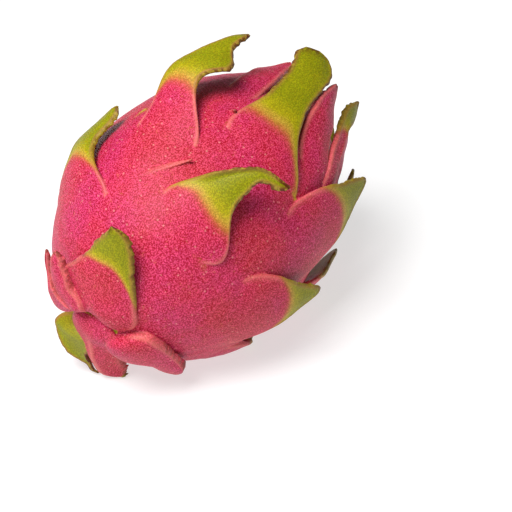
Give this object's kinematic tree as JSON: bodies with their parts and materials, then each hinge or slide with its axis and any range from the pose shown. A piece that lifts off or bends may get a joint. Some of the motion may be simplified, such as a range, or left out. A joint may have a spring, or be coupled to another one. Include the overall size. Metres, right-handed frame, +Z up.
{
  "type": "dragon fruit",
  "caption": "Whole dragon fruit lying on its side: an egg-shaped body wrapped in long fleshy scales whose tips stand free.",
  "frame": {"origin": "centre of the fruit's bounding box in plan, on the surface it lies on", "axes": "+X from the stem end to the flower end, +Y across to the side turned away from the shown one, +Z up"},
  "size_m": [0.1462, 0.1058, 0.106],
  "materials": {
    "skin": "waxy crimson pink skin, scale tips yellow to lime green"
  },
  "bodies": {
    "root": {"dragon_fruit": "skin"}
  },
  "joints": []
}
